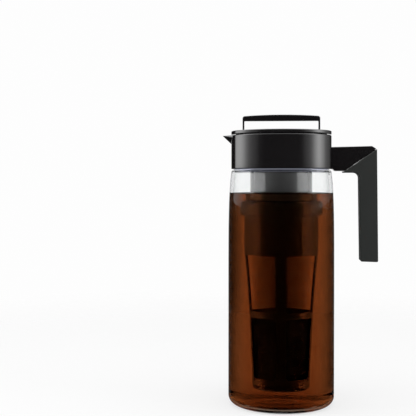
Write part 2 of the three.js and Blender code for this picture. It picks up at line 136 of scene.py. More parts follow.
class Bench:
    """Makes, joins, cuts and finishes pieces with Blender's operators."""

    TURNS = 144
    WELD = 1e-6
    BAR_SIDES = 40
    THREAD_STEPS = 96
    THREAD_PITCH = 4.0
    THREAD_SINK = 0.4
    THREAD_ROOT = 0.3
    THREAD_CREST = 0.1

    @staticmethod
    def clear() -> None:
        """Leaves edit mode and deselects everything."""
        if bpy.context.object and bpy.context.object.mode != "OBJECT":
            bpy.ops.object.mode_set(mode="OBJECT")
        bpy.ops.object.select_all(action="DESELECT")

    @staticmethod
    def pick(piece: Object) -> None:
        """Makes one piece the only selected and active one."""
        Bench.clear()
        piece.select_set(True)
        bpy.context.view_layer.objects.active = piece

    @staticmethod
    def edit(piece: Object) -> None:
        """Opens a piece in edit mode with all of its mesh selected."""
        Bench.pick(piece)
        bpy.ops.object.mode_set(mode="EDIT")
        bpy.ops.mesh.select_mode(type="VERT")
        bpy.ops.mesh.select_all(action="SELECT")

    @staticmethod
    def close_up() -> None:
        """Merges doubled points, turns the faces outwards and leaves edit mode."""
        bpy.ops.mesh.select_all(action="SELECT")
        bpy.ops.mesh.remove_doubles(threshold=Bench.WELD)
        bpy.ops.mesh.normals_make_consistent(inside=False)
        bpy.ops.object.mode_set(mode="OBJECT")

    @staticmethod
    def trace(name: str, points: Sequence[Vector]) -> Object:
        """Draws a chain of edges through points in metres, and leaves it selected in edit mode."""
        Bench.clear()
        bpy.ops.mesh.primitive_plane_add(size=MM, location=points[0])
        piece = bpy.context.object
        piece.name = piece.data.name = name
        bpy.ops.object.transform_apply(location=True, rotation=True, scale=True)
        Bench.edit(piece)
        bpy.ops.mesh.merge(type="CENTER")
        for here, there in zip(points, points[1:]):
            bpy.ops.mesh.extrude_vertices_move(TRANSFORM_OT_translate={"value": there - here})
        bpy.ops.mesh.select_all(action="SELECT")
        return piece

    @staticmethod
    def turned(name: str, corners: Sequence[Corner], turns: int = TURNS, steps: int = 6) -> Object:
        """Turns a profile about Z, as on a lathe.

        Args:
            name: the piece's name.
            corners: the profile's corners (radius, height, rounding), which start and end on the axis or
                go round in a closed loop.
            turns: the number of facets round the piece.
            steps: the number of facets in a rounded corner.

        Returns:
            The turned piece.
        """
        profile = rounded(corners, steps)
        if profile[0].x > 0:
            profile.append(profile[0])
        piece = Bench.trace(name, [Vector((p.x, 0, p.y)) * MM for p in profile])
        bpy.ops.mesh.spin(steps=turns, angle=math.tau, center=(0, 0, 0), axis=(0, 0, 1))
        Bench.close_up()
        return piece

    @staticmethod
    def plate(name: str, corners: Sequence[Corner], low: float, high: float, steps: int = 6) -> Object:
        """Cuts a plate from an outline in the XZ plane.

        Args:
            name: the piece's name.
            corners: the outline's corners (x, z, rounding).
            low: the y of one face.
            high: the y of the other face.
            steps: the number of facets in a rounded corner.

        Returns:
            The plate.
        """
        outline = rounded(corners, steps)
        outline.append(outline[0])
        piece = Bench.trace(name, [Vector((p.x, low, p.y)) * MM for p in outline])
        bpy.ops.mesh.remove_doubles(threshold=Bench.WELD)
        bpy.ops.mesh.edge_face_add()
        thickness = Vector((0, high - low, 0)) * MM
        bpy.ops.mesh.extrude_region_move(TRANSFORM_OT_translate={"value": thickness})
        Bench.close_up()
        return piece

    @staticmethod
    def hull(name: str, points: Sequence[Vector]) -> Object:
        """Stretches the tightest closed skin over points given in millimetres."""
        piece = Bench.trace(name, [p * MM for p in points])
        bpy.ops.mesh.convex_hull()
        bpy.ops.mesh.select_all(action="SELECT")
        bpy.ops.mesh.delete_loose()
        Bench.close_up()
        return piece

    @staticmethod
    def bar(name: str, radius: float, start: float, end: float, height: float) -> Object:
        """Lays a round bar along X, from one x to another at a height."""
        Bench.clear()
        bpy.ops.mesh.primitive_cylinder_add(
            vertices=Bench.BAR_SIDES,
            radius=radius * MM,
            depth=(end - start) * MM,
            location=((start + end) / 2 * MM, 0, height * MM),
            rotation=(0, math.pi / 2, 0),
        )
        piece = bpy.context.object
        piece.name = piece.data.name = name
        bpy.ops.object.transform_apply(location=True, rotation=True, scale=True)
        return piece

    @staticmethod
    def block(name: str, low: Corner, high: Corner) -> Object:
        """Cuts a block between two corners, as stock for a cut."""
        outline = [(low[0], low[2]), (high[0], low[2]), (high[0], high[2]), (low[0], high[2])]
        return Bench.plate(name, outline, low[1], high[1])

    @staticmethod
    def thread(wall: float, crest: float, foot: float) -> Object:
        """Winds one turn of a thread's ridge about Z.

        Args:
            wall: the radius of the wall that the ridge grows from.
            crest: the radius of the ridge's crest.
            foot: the height of the ridge's middle where it starts.

        Returns:
            The ridge, with its root sunk into the wall.
        """
        sunk = wall - math.copysign(Bench.THREAD_SINK, crest - wall)
        root, tip = Bench.THREAD_ROOT, Bench.THREAD_CREST
        section = [(sunk, -root), (crest, -tip), (crest, tip), (sunk, root), (sunk, -root)]
        pitch = Bench.THREAD_PITCH
        ridge = Bench.trace("ridge", [Vector((r, 0, foot + pitch * z)) * MM for r, z in section])
        Bench.close_up()
        Bench.modify(
            ridge,
            "SCREW",
            angle=math.tau,
            screw_offset=pitch * MM,
            steps=Bench.THREAD_STEPS,
            render_steps=Bench.THREAD_STEPS,
            use_smooth_shade=False,
        )
        Bench.edit(ridge)
        bpy.ops.mesh.fill_holes(sides=4)
        Bench.close_up()
        return ridge

    @staticmethod
    def modify(piece: Object, kind: str, **settings: object) -> None:
        """Gives a piece a modifier with its settings, and applies it."""
        Bench.pick(piece)
        modifier = piece.modifiers.new(kind, kind)
        for name, value in settings.items():
            setattr(modifier, name, value)
        bpy.ops.object.modifier_apply(modifier=modifier.name)

    @staticmethod
    def combine(piece: Object, fit: Fit, *tools: Object) -> None:
        """Joins a piece with tools, cuts it by them, or keeps what they share. The tools are used up."""
        for tool in tools:
            Bench.modify(piece, "BOOLEAN", operation=fit.value, solver="EXACT", object=tool)
            bpy.data.objects.remove(tool)

    @staticmethod
    def soften(piece: Object, width: float, segments: int = 3, above: float = 32.0) -> Object:
        """Rounds a piece's edges that are sharper than an angle, given in degrees."""
        Bench.modify(
            piece,
            "BEVEL",
            width=width * MM,
            segments=segments,
            limit_method="ANGLE",
            angle_limit=math.radians(above),
            use_clamp_overlap=True,
        )
        return piece

    @staticmethod
    def turn(piece: Object, angle: float) -> None:
        """Turns a piece's mesh about Z by an angle in radians."""
        Bench.edit(piece)
        bpy.ops.transform.rotate(value=angle, orient_axis="Z", center_override=(0, 0, 0))
        bpy.ops.object.mode_set(mode="OBJECT")

    @staticmethod
    def copy(piece: Object, name: str, angle: float) -> Object:
        """Copies a piece with its own mesh, turned about Z by an angle in radians."""
        Bench.pick(piece)
        bpy.ops.object.duplicate(linked=False)
        twin = bpy.context.object
        twin.name = twin.data.name = name
        Bench.turn(twin, angle)
        return twin

    @staticmethod
    def smooth(piece: Object, angle: float) -> None:
        """Shades a piece smooth up to an angle between faces, given in degrees, with its flats kept flat."""
        Bench.pick(piece)
        bpy.ops.object.shade_smooth_by_angle(angle=math.radians(angle))
        Bench.modify(piece, "WEIGHTED_NORMAL", mode="FACE_AREA", keep_sharp=True)


# Joining shader nodes


class Wiring:
    """Adds nodes to one shader tree and joins them."""

    def __init__(self, tree: NodeTree) -> None:
        """Takes the tree to be wired."""
        self.tree = tree

    def join(self, value: Value, socket: NodeSocket) -> None:
        """Feeds an input from another node's output, or sets it to a number, a vector or a colour."""
        if isinstance(value, NodeSocket):
            self.tree.links.new(value, socket)
        elif socket.type == "RGBA":
            socket.default_value = (*value, 1)
        else:
            socket.default_value = value

    def feed(self, node: Node, **inputs: Value) -> Node:
        """Feeds a node's inputs by name, with _ for a space, and returns the node."""
        for label, value in inputs.items():
            self.join(value, node.inputs[label.replace("_", " ")])
        return node

    def add(self, kind: str, **inputs: Value) -> Node:
        """Adds a node and feeds its inputs by name."""
        return self.feed(self.tree.nodes.new(kind), **inputs)

    def effect(self, effect: "Effect", **inputs: Value) -> Node:
        """Adds a shared effect and feeds its inputs by name."""
        node = self.tree.nodes.new("ShaderNodeGroup")
        node.node_tree = effect.tree()
        return self.feed(node, **inputs)

    def _numbered(self, node: Node, output: int, inputs: dict[int, Value]) -> NodeSocket:
        """Feeds a node's inputs by number and returns one of its outputs."""
        for index, value in inputs.items():
            self.join(value, node.inputs[index])
        return node.outputs[output]

    def math(self, operation: str, *values: Value) -> NodeSocket:
        """The result of a sum on sockets and numbers."""
        node = self.tree.nodes.new("ShaderNodeMath")
        node.operation = operation
        return self._numbered(node, 0, dict(enumerate(values)))

    def mix(self, share: Value, first: Value, second: Value) -> NodeSocket:
        """Fades from one number to another."""
        return self._numbered(self.tree.nodes.new("ShaderNodeMix"), 0, {0: share, 2: first, 3: second})

    def blend(self, share: Value, first: Value, second: Value) -> NodeSocket:
        """Fades from one colour to another."""
        node = self.tree.nodes.new("ShaderNodeMix")
        node.data_type = "RGBA"
        return self._numbered(node, 2, {0: share, 6: first, 7: second})

    def overlay(self, share: Value, first: NodeSocket, second: NodeSocket) -> NodeSocket:
        """Fades from one shader to another."""
        node = self.tree.nodes.new("ShaderNodeMixShader")
        return self._numbered(node, 0, {0: share, 1: first, 2: second})

    def ease(self, value: NodeSocket, low: float, high: float) -> NodeSocket:
        """0 at one value and 1 at another, with a soft step between them."""
        node = self.add("ShaderNodeMapRange", Value=value, From_Min=low, From_Max=high)
        node.interpolation_type = "SMOOTHSTEP"
        return node.outputs["Result"]

    def rescale(self, value: NodeSocket, given: Span, wanted: Span) -> NodeSocket:
        """Carries one span of values over to another."""
        node = self.add("ShaderNodeMapRange", Value=value, From_Min=given[0], From_Max=given[1])
        return self.feed(node, To_Min=wanted[0], To_Max=wanted[1]).outputs["Result"]

    def ramp(self, share: NodeSocket, stops: Sequence[tuple[float, Colour]]) -> NodeSocket:
        """A run of colours, from stops of (position, colour)."""
        node = self.add("ShaderNodeValToRGB", Fac=share)
        elements = node.color_ramp.elements
        while len(elements) < len(stops):
            elements.new(1.0)
        for element, (position, colour) in zip(elements, stops):
            element.position = position
            element.color = (*colour, 1)
        return node.outputs["Color"]

    def place(self) -> NodeSocket:
        """A point's place in its piece, in metres."""
        return self.tree.nodes.new("ShaderNodeTexCoord").outputs["Object"]

    def axes(self, vector: NodeSocket) -> Sockets:
        """The outputs X, Y and Z of a vector."""
        return self.add("ShaderNodeSeparateXYZ", Vector=vector).outputs

    def path(self) -> Sockets:
        """What is known of the way that the light has gone."""
        return self.tree.nodes.new("ShaderNodeLightPath").outputs

    def noise(self, scale: Value, detail: float) -> NodeSocket:
        """Noise over the piece."""
        return self.add("ShaderNodeTexNoise", Vector=self.place(), Scale=scale, Detail=detail).outputs["Fac"]


# Shared surface effects


class Effect:
    """A node group that more than one finish uses. It is built once."""

    name = "effect"
    inputs: dict[str, float | Colour] = {}

    @staticmethod
    def kind(label: str) -> str:
        """The type of the socket with this label."""
        return "NodeSocketColor" if label == "Colour" else "NodeSocketFloat"

    def tree(self) -> NodeTree:
        """The node group, wired the first time that it is asked for."""
        if self.name in bpy.data.node_groups:
            return bpy.data.node_groups[self.name]
        tree = bpy.data.node_groups.new(self.name, "ShaderNodeTree")
        for label, value in self.inputs.items():
            socket = tree.interface.new_socket(label, in_out="INPUT", socket_type=self.kind(label))
            socket.default_value = (*value, 1) if isinstance(value, tuple) else value
        results = self.wire(Wiring(tree), tree.nodes.new("NodeGroupInput").outputs)
        for label in results:
            tree.interface.new_socket(label, in_out="OUTPUT", socket_type=self.kind(label))
        end = tree.nodes.new("NodeGroupOutput")
        for label, value in results.items():
            tree.links.new(value, end.inputs[label])
        return tree

    def wire(self, net: Wiring, given: Sockets) -> dict[str, NodeSocket]:
        """Wires the effect from its inputs, and names its results."""
        raise NotImplementedError


class Moulding(Effect):
    """Moulded plastic: slow changes of tone and gloss, with a fine ripple in its skin."""

    name = "moulded_surface"
    inputs = {
        "Colour": (0.5, 0.5, 0.5),
        "Tone Spread": 0.1,
        "Roughness": 0.3,
        "Roughness Spread": 0.05,
        "Broad Scale": 18.0,
        "Fine Scale": 900.0,
    }

    def wire(self, net: Wiring, given: Sockets) -> dict[str, NodeSocket]:
        """Wires broad noise into tone and gloss, and fine noise into height."""
        centred = net.math("SUBTRACT", net.noise(given["Broad Scale"], 3), 0.5)
        tone = net.math("MULTIPLY_ADD", centred, given["Tone Spread"], 1.0)
        shade = net.tree.nodes.new("ShaderNodeVectorMath")
        shade.operation = "SCALE"
        net.join(given["Colour"], shade.inputs[0])
        net.join(tone, shade.inputs["Scale"])
        gloss = net.math("MULTIPLY_ADD", centred, given["Roughness Spread"], given["Roughness"])
        return {
            "Colour": shade.outputs["Vector"],
            "Roughness": gloss,
            "Height": net.noise(given["Fine Scale"], 2),
        }


class Grain(Effect):
    """Fine leathery grain, as on soft-touch rubber and silicone."""

    name = "fine_grain"
    inputs = {"Scale": 1500.0, "Softness": 0.5}

    def wire(self, net: Wiring, given: Sockets) -> dict[str, NodeSocket]:
        """Wires small cells, blurred by noise."""
        cells = net.add("ShaderNodeTexVoronoi", Vector=net.place(), Scale=given["Scale"])
        cells.feature = "SMOOTH_F1"
        pits = cells.outputs["Distance"]
        return {"Height": net.mix(given["Softness"], pits, net.noise(given["Scale"], 3)), "Pits": pits}


class Weave(Effect):
    """A plain weave wrapped about Z: threads run round the strainer and up it."""

    name = "plain_weave"
    inputs = {"Threads Round": 300.0, "Threads Up": 1700.0}

    def wire(self, net: Wiring, given: Sockets) -> dict[str, NodeSocket]:
        """Wires two sets of waves that cross."""
        axes = net.axes(net.place())
        turn = net.math("ARCTAN2", axes["Y"], axes["X"])
        waves = [
            net.math("ABSOLUTE", net.math("SINE", net.math("MULTIPLY", source, given[count])))
            for source, count in ((turn, "Threads Round"), (axes["Z"], "Threads Up"))
        ]
        return {"Threads": net.math("MAXIMUM", *waves), "Height": net.math("MULTIPLY", *waves)}


# Finishes


class Finish:
    """A finish: a material that is made once and given to every piece that has it."""

    name = "finish"
    slot: str | None = None
    colour: Colour = (0.5, 0.5, 0.5)
    made: dict[str, Material] = {}

    # Light that has passed more surfaces than this comes from behind the clear wall.
    WALL_CROSSINGS = 2.5

    def material(self) -> Material:
        """The finish's material, wired the first time that it is asked for."""
        if self.name not in self.made:
            material = bpy.data.materials.new(self.name)
            material.use_nodes = True
            tree = material.node_tree
            self.wire(Wiring(tree), tree.nodes["Principled BSDF"])
            self.made[self.name] = material
        return self.made[self.name]

    def wire(self, net: Wiring, shader: Node) -> None:
        """Wires the material's nodes."""
        raise NotImplementedError

    def skin(self, net: Wiring, shader: Node, **inputs: Value) -> Node:
        """Gives the surface the tone and gloss of moulded plastic, and returns that effect's node."""
        surface = net.effect(Moulding(), Colour=self.colour, **inputs)
        net.feed(shader, Base_Color=surface.outputs["Colour"], Roughness=surface.outputs["Roughness"])
        return surface

    @staticmethod
    def bump(net: Wiring, shader: Node, height: NodeSocket, depth: float, strength: float) -> None:
        """Raises a surface by a height map, to a depth in millimetres."""
        node = net.add("ShaderNodeBump", Strength=strength, Distance=depth * MM, Height=height)
        net.feed(shader, Normal=node.outputs["Normal"])

    @staticmethod
    def painted_edge_shade(net: Wiring, middle: Colour, edge: Colour, turn: Span) -> NodeSocket:
        """Painted shade: a colour that changes from where a clear wall is seen square on to where it is seen
        edge on.

        Args:
            net: the material's wiring.
            middle: the colour where the wall is seen square on.
            edge: the colour where it is seen edge on.
            turn: the facing values at which the change begins and is complete.

        Returns:
            The tint.
        """
        facing = net.tree.nodes.new("ShaderNodeLayerWeight").outputs["Facing"]
        return net.ramp(net.ease(facing, *turn), [(0.0, middle), (1.0, edge)])

    @staticmethod
    def unmirrored(net: Wiring, shader: Node) -> None:
        """Leaves the surface out of what gloss behind the clear wall mirrors."""
        path = net.path()
        behind = net.math("GREATER_THAN", path["Transmission Depth"], Finish.WALL_CROSSINGS)
        mirrored = net.math("MINIMUM", path["Glossy Depth"], 1.0)
        net.feed(shader, Alpha=net.math("SUBTRACT", 1.0, net.math("MULTIPLY", behind, mirrored)))


@dataclass(frozen=True)
class ClearPlastic(Finish):
    """Clear, polished pitcher wall, with painted shade that makes it a little greyer where it is seen edge
    on.

    Round the collar's seat it is frosted, with a painted glow. Close to the table it has painted shade: a
    darker, brownish grey.
    """

    name: str = "clear_wall"
    slot: str = "clear_plastic"
    middle: Colour = (0.95, 0.957, 0.956)
    # Painted shade: the grey that the wall turns to where it is seen edge on.
    edge: Colour = (0.78, 0.8, 0.82)
    edge_turn: Span = (0.55, 0.98)
    ior: float = 1.28
    mirror: float = 0.03
    frost: Colour = (0.62, 0.64, 0.73)
    frost_foot: Span = (252.6, 253.4)
    frost_head: Span = (255.5, 254.7)
    frost_roughness: float = 0.5
    # Painted glow: light that the frosted seat band gives out, though it is no lamp.
    painted_glow: Colour = (0.14, 0.147, 0.18)
    # Painted shade close to the table: the wall darkens to this brownish grey towards its foot.
    foot: Colour = (0.8, 0.72, 0.68)
    foot_rise: Span = (10.0, 3.0)

    def wire(self, net: Wiring, shader: Node) -> None:
        """Wires clear plastic with a faint moulding ripple, frosted round the collar's seat."""
        surface = net.effect(
            Moulding(), Roughness=0.0, Roughness_Spread=0.004, Broad_Scale=30.0, Fine_Scale=60.0
        ).outputs
        height = net.math("DIVIDE", net.axes(net.place())["Z"], MM)
        band = net.math("MULTIPLY", net.ease(height, *self.frost_foot), net.ease(height, *self.frost_head))
        # Painted shade greys the wall where it is seen edge on; the frosted band round the seat is the wall's
        # own.
        frosted = net.blend(band, self.painted_edge_shade(net, self.middle, self.edge, self.edge_turn), self.frost)
        net.feed(
            shader,
            # Painted shade: darker and browner towards the foot.
            Base_Color=net.blend(net.ease(height, *self.foot_rise), frosted, self.foot),
            # Painted glow in the frosted seat band.
            Emission_Color=net.blend(net.math("POWER", band, 2.0), (0.0, 0.0, 0.0), self.painted_glow),
            Emission_Strength=1.0,
            Roughness=net.math("MULTIPLY_ADD", band, self.frost_roughness, surface["Roughness"]),
            IOR=self.ior,
            Transmission_Weight=1.0,
            Specular_Tint=(self.mirror, self.mirror, self.mirror),
        )
        self.bump(net, shader, surface["Height"], depth=0.02, strength=0.15)


@dataclass(frozen=True)
class MouldedPlastic(Finish):
    """Opaque moulded plastic."""

    name: str = "black_moulding"
    slot: str = "gloss_black"
    colour: Colour = (0.0095, 0.0087, 0.0092)
    roughness: float = 0.06
    spread: float = 0.02
    ripple: float = 0.004
    ior: float = 1.9
    tint: Colour = (1.0, 1.0, 1.0)
    outside: bool = False

    def wire(self, net: Wiring, shader: Node) -> None:
        """Wires plastic whose tone and gloss wander a little, with a fine ripple."""
        if self.outside:
            self.unmirrored(net, shader)
        surface = self.skin(
            net, shader, Tone_Spread=0.35, Roughness=self.roughness, Roughness_Spread=self.spread
        )
        self.bump(net, shader, surface.outputs["Height"], depth=self.ripple, strength=0.3)
        net.feed(shader, IOR=self.ior, Specular_Tint=self.tint)


@dataclass(frozen=True)
class SoftGrip(Finish):
    """Matt soft-touch sleeve with a fine grain."""

    name: str = "sleeve_rubber"
    slot: str = "soft_grip"
    colour: Colour = (0.024, 0.0262, 0.0245)

    def wire(self, net: Wiring, shader: Node) -> None:
        """Wires matt rubber: grain, and gloss that wanders a little over the sleeve."""
        self.skin(net, shader, Tone_Spread=0.25, Roughness=0.62, Roughness_Spread=0.12, Broad_Scale=35.0)
        self.unmirrored(net, shader)
        grain = net.effect(Grain(), Scale=1400.0)
        self.bump(net, shader, grain.outputs["Height"], depth=0.12, strength=0.35)
        net.feed(shader, IOR=1.42, Sheen_Weight=0.04, Sheen_Roughness=0.5)


@dataclass(frozen=True)
class Silicone(Finish):
    """Blue-grey silicone of the two seals."""

    name: str = "seal_silicone"
    slot: str = "seal"
    colour: Colour = (0.27, 0.31, 0.4)

    def wire(self, net: Wiring, shader: Node) -> None:
        """Wires satin silicone with a little depth."""
        self.skin(net, shader, Tone_Spread=0.12, Roughness=0.5, Roughness_Spread=0.1)
        grain = net.effect(Grain(), Scale=2500.0, Softness=0.7)
        self.bump(net, shader, grain.outputs["Height"], depth=0.05, strength=0.3)
        net.feed(shader, IOR=1.41, Subsurface_Weight=0.15, Subsurface_Radius=(0.002, 0.002, 0.003))


@dataclass(frozen=True)
class WovenMesh(Finish):
    """Fine woven nylon, with open holes between its threads."""

    name: str = "woven_nylon"
    slot: str = "strainer_mesh"
    colour: Colour = (0.03, 0.018, 0.011)
    thread: Span = (0.35, 0.95)
    cover: Span = (0.18, 0.42)
    slanted: Span = (1.0, 0.05)

    def wire(self, net: Wiring, shader: Node) -> None:
        """Wires the weave's threads, its holes, which cover less where it is seen aslant, and its relief."""
        self.skin(net, shader, Tone_Spread=0.5, Roughness=0.3, Roughness_Spread=0.1, Broad_Scale=60.0)
        weave = net.effect(Weave()).outputs
        holes = net.rescale(weave["Threads"], self.thread, self.cover)
        facing = net.add("ShaderNodeLayerWeight", Blend=0.5).outputs["Facing"]
        slant = net.rescale(facing, (0.0, 0.5), self.slanted)
        self.bump(net, shader, weave["Height"], depth=0.05, strength=0.3)
        net.feed(shader, Alpha=net.math("MULTIPLY", holes, slant), IOR=1.5, Specular_IOR_Level=0.15)


@dataclass(frozen=True)
class CoffeeLiquid(Finish):
    """Cold brew: clear and deep amber brown, with painted shade where it is seen through its edge and towards
    the bottom.
    """

    name: str = "cold_brew"
    absorbed: Colour = (0.634, 0.33, 0.026)
    density: float = 50.0
    middle: Colour = (1.0, 1.0, 1.0)
    # Painted shade: the dark that the drink takes on where it is seen through its edge.
    edge: Colour = (0.1, 0.1, 0.1)
    edge_turn: Span = (0.12, 0.33)
    # Painted shade: the drink is a little darker towards the bottom.
    base: Colour = (0.85, 0.85, 0.85)
    base_rise: Span = (8.0, 26.0)
    mirror: Colour = (0.15, 0.14, 0.12)

    def wire(self, net: Wiring, shader: Node) -> None:
        """Wires a liquid that colours light by how far it travels through it."""
        height = net.math("DIVIDE", net.axes(net.place())["Z"], MM)
        tint = self.painted_edge_shade(net, self.middle, self.edge, self.edge_turn)
        net.feed(
            shader,
            # Painted shade: darker towards the bottom and where the drink is seen edge on.
            Base_Color=net.blend(net.ease(height, *self.base_rise), self.base, tint),
            Roughness=0.0,
            IOR=1.333,
            Specular_Tint=self.mirror,
            Transmission_Weight=1.0,
        )
        volume = net.add("ShaderNodeVolumeAbsorption", Color=self.absorbed, Density=self.density)
        net.feed(net.tree.nodes["Material Output"], Volume=volume.outputs["Volume"])


@dataclass(frozen=True)
class CoffeeGrounds(Finish):
    """Wet ground coffee: very dark, rough and speckled."""

    name: str = "coffee_grounds"
    dark: Colour = (0.002, 0.0012, 0.0008)
    light: Colour = (0.01, 0.005, 0.0025)

    def wire(self, net: Wiring, shader: Node) -> None:
        """Wires grains of two browns with a crumbly relief."""
        grain = net.effect(Grain(), Scale=700.0, Softness=0.35).outputs
        browns = net.ramp(grain["Pits"], [(0.0, self.dark), (1.0, self.light)])
        self.bump(net, shader, grain["Height"], depth=0.9, strength=0.8)
        net.feed(shader, Base_Color=browns, Roughness=0.85, IOR=1.35, Specular_IOR_Level=0.2)


# Sub-assemblies


class Assembly:
    """What all sub-assemblies share: how a finished piece joins the model."""

    body: Body

    def settle(
        self,
        piece: Object,
        finish: Finish,
        nodes: Sequence[str] = (),
        body: Body | None = None,
        smooth: float = 32.0,
    ) -> None:
        """Shades and dresses a piece, and lets it ride on its CAD body.

        Args:
            piece: the finished piece.
            finish: its finish.
            nodes: the CAD nodes that it stands for.
            body: the body that carries it, if it isn't the sub-assembly's own.
            smooth: the angle between faces, in degrees, up to which it is shaded smooth.
        """
        Bench.smooth(piece, smooth)
        piece.data.materials.clear()
        piece.data.materials.append(finish.material())
        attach(piece, (body or self.body).value)
        if nodes:
            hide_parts(*nodes)
        log.info("%s: %d faces, %s", piece.name, len(piece.data.polygons), finish.name)

    def build(self) -> None:
        """Builds and dresses every piece."""
        raise NotImplementedError


@dataclass
class Pitcher(Assembly):
    """The clear pitcher with its neck seal."""

    radius: float = 57.2
    height: float = 252.6
    wall: float = 2.8
    floor: float = 4.0
    draw: float = 3.4
    draw_power: float = 10.0
    base_corner: float = 9.5
    foot_pad: float = 18.0
    foot_ring: float = 7.0
    foot_groove: float = 1.2
    shoulder_corner: float = 2.0
    shoulder_wall: float = 1.4
    neck: float = 49.5
    neck_bore: float = 46.6
    neck_top: float = 276.0
    seat_width: float = 2.1
    seat_rise: float = 0.8
    seal_gap: float = 0.3
    seal_height: float = 1.6
    bead_height: float = 266.6
    bead_reach: float = 0.8
    bead_half: float = 1.0
    bead_slope: float = 3.0
    levels: int = 28
    body: Body = Body.PITCHER

    def radius_at(self, height: float) -> float:
        """The body's outer radius at a height."""
        return self.radius - self.draw * (height / self.height) ** self.draw_power

    def wall_line(self, low: float, high: float, depth: float) -> list[Corner]:
        """Points up the wall from one height to another, at a depth behind its outer face."""
        heights = [low + (high - low) * (k / self.levels) ** 0.5 for k in range(self.levels + 1)]
        return [(self.radius_at(z) - depth, z) for z in heights]

    def vessel(self) -> Object:
        """The pitcher itself: foot ring, wall, shoulder, collar seat and neck."""
        shoulder = self.radius_at(self.height)
        foot = self.radius - self.base_corner
        groove = foot - self.foot_ring
        seat, bead = self.neck + self.seat_width, self.neck + self.bead_reach
        inner_top = self.height - self.shoulder_wall
        inner_corner = self.base_corner - self.wall
        outer = self.wall_line(self.base_corner + 2, self.height - self.shoulder_corner - 0.5, 0)
        inner = self.wall_line(self.floor + inner_corner + 2, inner_top - self.shoulder_corner, self.wall)
        outline = [
            (0, 0),
            (self.foot_pad, 0, 0.4),
            (self.foot_pad + self.foot_groove, self.foot_groove),
            (groove - self.foot_groove, self.foot_groove),
            (groove, 0, 0.4),
            (self.radius, 0, self.base_corner),
            *outer,
            (shoulder, self.height, self.shoulder_corner),
            (seat, self.height),
            (seat, self.height + self.seat_rise, 0.2),
            (self.neck, self.height + self.seat_rise),
            (self.neck, self.bead_height - 2 * self.bead_half),
            (bead, self.bead_height - self.bead_half, 0.3),
            (bead, self.bead_height + self.bead_half, 0.3),
            (self.neck, self.bead_height + self.bead_half + self.bead_slope),
            (self.neck, self.neck_top, 0.9),
            (self.neck_bore, self.neck_top, 0.9),
            (self.neck_bore, inner_top, 1.0),
            (shoulder - self.wall, inner_top, 1.0),
            *reversed(inner),
            (self.radius - self.wall, self.floor, inner_corner),
            (0, self.floor),
        ]
        return Bench.turned("pitcher_vessel", outline, turns=192, steps=8)

    def seal(self) -> Object:
        """The ring between the neck's rim and the collar's lip."""
        foot, bore = self.neck_top + self.seal_gap, self.neck_bore + self.seal_gap
        top = foot + self.seal_height
        section = [(bore, foot, 0.5), (self.neck, foot, 0.5), (self.neck, top, 0.5), (bore, top, 0.5)]
        return Bench.turned("neck_seal_ring", section)

    def build(self) -> None:
        """Builds the pitcher and its neck seal."""
        self.settle(self.vessel(), ClearPlastic(), ["pitcher"])
        self.settle(self.seal(), Silicone(), ["neck_seal"])


@dataclass
class Coffee(Assembly):
    """The drink.

    Its outer face lies inside the thickness of the pitcher's wall, so that light bends as it does on its way
    through wall and drink.
    """

    pitcher: Pitcher
    level: float = 227.1
    creep: float = 1.3
    creep_width: float = 4.0
    creep_fade: float = 4.5
    skin: float = 0.3
    body: Body = Body.PITCHER

    CLIMB = (0.0, 0.04, 0.09, 0.15, 0.22, 0.3, 0.4, 0.55, 0.75, 1.0)

    def surface(self, share: float) -> float:
        """The height of the surface at a share of the way out of the wall's pull."""
        return self.level + self.creep * math.exp(-self.creep_fade * share)

    def build(self) -> None:
        """Builds the drink, with its surface drawn up at the wall."""
        pitcher, skin = self.pitcher, self.skin
        groove = pitcher.radius - pitcher.base_corner - pitcher.foot_ring
        step = pitcher.foot_groove
        top = self.level + self.creep
        edge = pitcher.radius_at(top) - pitcher.wall
        outline = [
            (0, skin),
            (pitcher.foot_pad, skin),
            (pitcher.foot_pad + step, skin + step),
            (groove - step, skin + step),
            (groove, skin),
            (pitcher.radius - skin, skin, pitcher.base_corner - skin),
            *pitcher.wall_line(pitcher.base_corner + 3, top, skin),
            *((edge - self.creep_width * share, self.surface(share)) for share in self.CLIMB),
            (0, self.level),
        ]
        drink = Bench.turned("coffee_drink", outline, turns=192, steps=8)
        self.settle(drink, CoffeeLiquid(), smooth=60)


@dataclass
class Grip(Assembly):
    """The soft sleeve that forms the upright of the handle. It leans a little outwards."""

    inner: float = 82.9
    outer: float = 101.6
    lean: float = 1.45
    foot: float = 154.5
    foot_rise: float = 0.5
    under_arm: float = 249.8
    slant_start: float = 67.6
    slant_foot: float = 251.3
    slant_top: float = 275.0
    tongue: float = 1.8
    crook: float = 5.5
    width: float = 22.6
    edge: float = 1.6
    body: Body = Body.PITCHER

    def build(self) -> None:
        """Builds the sleeve: short under the arm, long down the side."""
        outline = [
            (self.slant_start - self.tongue, self.under_arm),
            (self.inner, self.under_arm, self.crook),
            (self.inner + self.lean, self.foot + self.foot_rise, self.edge),
            (self.outer + self.lean, self.foot, self.edge),
            (self.outer, self.slant_top),
            (self.slant_start, self.slant_foot),
            (self.slant_start - self.tongue, self.slant_foot),
        ]
        half = self.width / 2
        sleeve = Bench.plate("grip_sleeve", outline, -half, half, steps=10)
        Bench.soften(sleeve, self.edge, segments=4)
        self.settle(sleeve, SoftGrip(), ["handle_grip"])
        sleeve.visible_glossy = False


